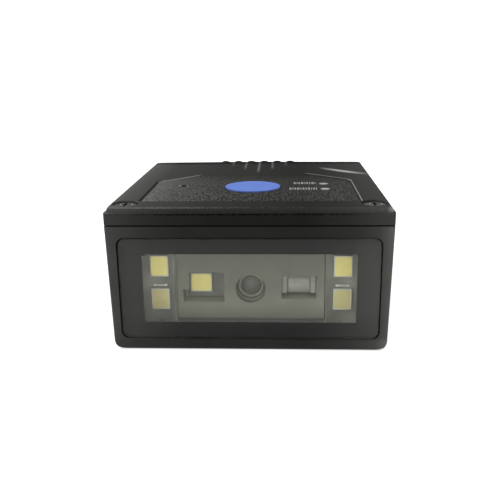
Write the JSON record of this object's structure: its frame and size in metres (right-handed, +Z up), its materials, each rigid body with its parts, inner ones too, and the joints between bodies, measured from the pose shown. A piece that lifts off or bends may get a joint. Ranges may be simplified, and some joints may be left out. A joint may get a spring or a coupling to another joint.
{
  "type": "barcode scanner",
  "caption": "Compact fixed-mount barcode scanner: black two-part housing, framed front window over an imaging engine and side lights, grip ribs behind, modular rear socket.",
  "frame": {"origin": "middle of the footprint, on the plane the base rests on", "axes": "+X across the front to the window's right as seen from in front, +Y from the window to the rear, +Z up"},
  "size_m": [0.046, 0.048, 0.0242],
  "materials": {
    "housing_plastic": "fine spark-eroded black plastic",
    "cover_plastic": "black plastic, coarser grain in the sunk panel",
    "seal_rubber": "black silicone",
    "blackened_steel": "blackened steel",
    "window_clear": "clear hard-coated acrylic, lightly smoked",
    "mask_print": "black ink printed behind the window",
    "tape": "black double-sided foam tape",
    "badge_blue": "blue printed disc, satin",
    "pipe_plastic": "milky clear plastic",
    "insert_brass": "knurled brass",
    "bracket_plastic": "grey moulded plastic",
    "plated_steel": "zinc-plated steel",
    "light_board": "grey lacquered circuit board",
    "light_phosphor": "yellow phosphor in a white cup",
    "resistor_body": "white ceramic with tinned ends",
    "engine_metal": "grey anodised casting",
    "circuit_board": "green lacquered circuit board",
    "sensor_body": "sensor package under its cover glass",
    "barrel_plastic": "grey lens barrel",
    "lens_glass": "coated lens",
    "aimer_clear": "clear moulded lens",
    "status_light": "white light package",
    "connector_plastic": "cream connector plastic",
    "flex_film": "amber polyimide film",
    "chip_resin": "black moulding resin",
    "crystal_can": "plated can",
    "inductor_core": "dark ferrite",
    "capacitor_body": "tan ceramic with tinned ends",
    "beeper_plastic": "black beeper case",
    "socket_plastic": "black socket plastic",
    "contact_gold": "gold-plated spring contacts"
  },
  "bodies": {
    "root": {"housing": "housing_plastic", "top_cover": "cover_plastic", "cover_seal": "seal_rubber", "cover_screws": "blackened_steel", "window_panel": "window_clear", "window_mask": "mask_print", "window_tape": "tape", "badge": "badge_blue", "power_light_pipe": "pipe_plastic", "scan_light_pipe": "pipe_plastic", "mount_inserts": "insert_brass", "optics_bracket": "bracket_plastic", "bracket_screws": "plated_steel", "left_light_board": "light_board", "right_light_board": "light_board", "left_upper_light": "light_phosphor", "left_lower_light": "light_phosphor", "right_upper_light": "light_phosphor", "right_lower_light": "light_phosphor", "left_resistor": "resistor_body", "right_resistor": "resistor_body", "engine_block": "engine_metal", "engine_board": "circuit_board", "engine_screws": "plated_steel", "image_sensor": "sensor_body", "lens_barrel": "barrel_plastic", "front_lens": "lens_glass", "rear_lens": "lens_glass", "engine_light": "light_phosphor", "engine_light_board": "light_board", "aimer_lens": "aimer_clear", "aimer_light": "status_light", "aimer_light_board": "light_board", "engine_connector": "connector_plastic", "engine_flex": "flex_film", "main_board": "circuit_board", "board_screws": "plated_steel", "processor": "chip_resin", "memory_chip": "chip_resin", "clock_crystal": "crystal_can", "voltage_regulator": "chip_resin", "power_inductor": "inductor_core", "filter_capacitors": "capacitor_body", "beeper": "beeper_plastic", "power_status_light": "status_light", "scan_status_light": "status_light", "flex_connector": "connector_plastic", "modular_socket": "socket_plastic", "socket_contacts": "contact_gold"}
  },
  "joints": []
}
